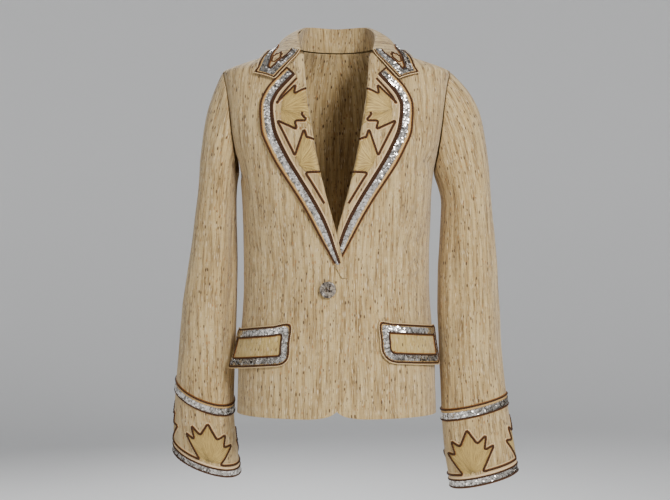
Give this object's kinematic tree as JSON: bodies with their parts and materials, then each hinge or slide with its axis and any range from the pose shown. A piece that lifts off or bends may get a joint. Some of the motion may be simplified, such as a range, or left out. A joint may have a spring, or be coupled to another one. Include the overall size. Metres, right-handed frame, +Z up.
{
  "type": "embellished jacket",
  "caption": "Single-breasted jacket in its worn, hollow form, with a notched collar, flared sleeves, flap pockets, bands of sequins and a couched leaf border",
  "frame": {"origin": "midway between the shoulders, level with the sides of the neck, where the wearer's shoulders carry the jacket", "axes": "+X towards the wearer's left, -Y out of the front, +Z up"},
  "size_m": [0.5627, 0.2655, 0.7453],
  "materials": {
    "slubbed_cloth": "matte tan silk tweed with dark slubs",
    "silver_sequins": "glossy silver sequins",
    "brown_cord": "twisted brown cord",
    "horn_button": "polished marbled horn"
  },
  "bodies": {
    "root": {"back_left": "slubbed_cloth", "back_right": "slubbed_cloth", "button": "horn_button", "collar_band": "silver_sequins", "collar_fall": "slubbed_cloth", "collar_leaf_cord_left": "brown_cord", "collar_leaf_cord_right": "brown_cord", "collar_stand": "slubbed_cloth", "flap_band_left": "silver_sequins", "flap_band_right": "silver_sequins", "front_left": "slubbed_cloth", "front_right": "slubbed_cloth", "lapel_band_left": "silver_sequins", "lapel_band_right": "silver_sequins", "lapel_leaf_cord_left_1": "brown_cord", "lapel_leaf_cord_left_2": "brown_cord", "lapel_leaf_cord_left_3": "brown_cord", "lapel_leaf_cord_right_1": "brown_cord", "lapel_leaf_cord_right_2": "brown_cord", "lapel_leaf_cord_right_3": "brown_cord", "lapel_left": "slubbed_cloth", "lapel_right": "slubbed_cloth", "pocket_flap_left": "slubbed_cloth", "pocket_flap_right": "slubbed_cloth", "sleeve_hem_band_left": "silver_sequins", "sleeve_hem_band_right": "silver_sequins", "sleeve_leaf_cord_left": "brown_cord", "sleeve_leaf_cord_right": "brown_cord", "sleeve_upper_band_left": "silver_sequins", "sleeve_upper_band_right": "silver_sequins", "under_sleeve_left": "slubbed_cloth", "under_sleeve_right": "slubbed_cloth", "upper_sleeve_left": "slubbed_cloth", "upper_sleeve_right": "slubbed_cloth"}
  },
  "joints": []
}
